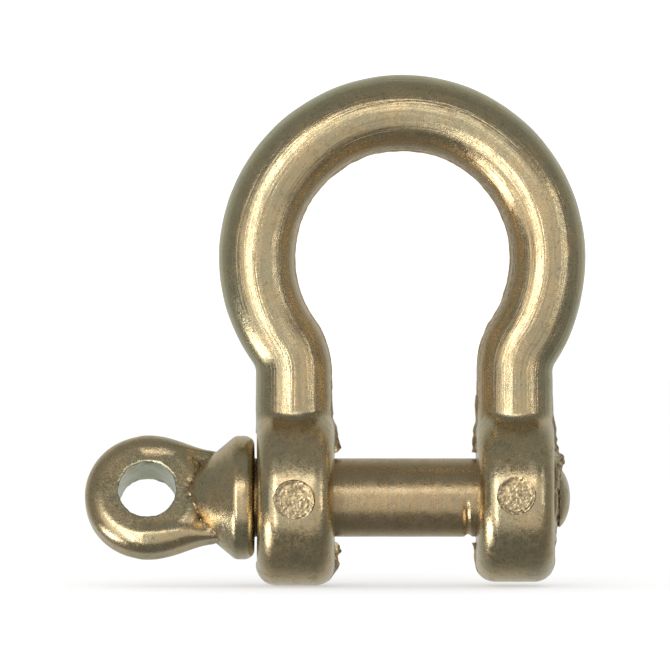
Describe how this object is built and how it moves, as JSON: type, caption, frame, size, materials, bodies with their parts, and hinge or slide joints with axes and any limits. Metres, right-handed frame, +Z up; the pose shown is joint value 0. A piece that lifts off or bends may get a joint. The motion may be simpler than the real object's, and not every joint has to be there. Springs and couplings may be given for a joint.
{
  "type": "bow shackle",
  "caption": "Cast bow shackle: round rod bent into a wide bow with thick eared ends, closed by a screw pin with a lanyard eye and seating collar.",
  "frame": {"origin": "the middle of the inside of the crown, where a ring, hook or rope bears", "axes": "+X along the pin from its eye to its thread, +Y away from the side with the two round recesses, +Z up from the pin to the crown"},
  "size_m": [0.0641, 0.0223, 0.0651],
  "materials": {
    "cast_bronze": "tumbled casting, satin, olive patina in the hollows",
    "machined_bronze": "turned, satin, slightly redder"
  },
  "bodies": {
    "bow": {"bow": "cast_bronze"},
    "shank": {"pin_shank": "machined_bronze"},
    "screw": {"pin_head": "cast_bronze", "pin_thread": "machined_bronze"}
  },
  "joints": [
    {"name": "pin_travel", "type": "slide", "parent": "bow", "child": "shank", "axis": [-1, 0, 0], "range_m": [0, 0.0315]},
    {"name": "pin_turn", "type": "hinge", "parent": "shank", "child": "screw", "pos_m": [0, 0, -0.0443], "axis": [-1, 0, 0], "range_deg": [0, 7560]}
  ],
  "couplings": [
    {"joint": "pin_turn", "follows": "pin_travel", "rad_per_m": 4188.8}
  ]
}
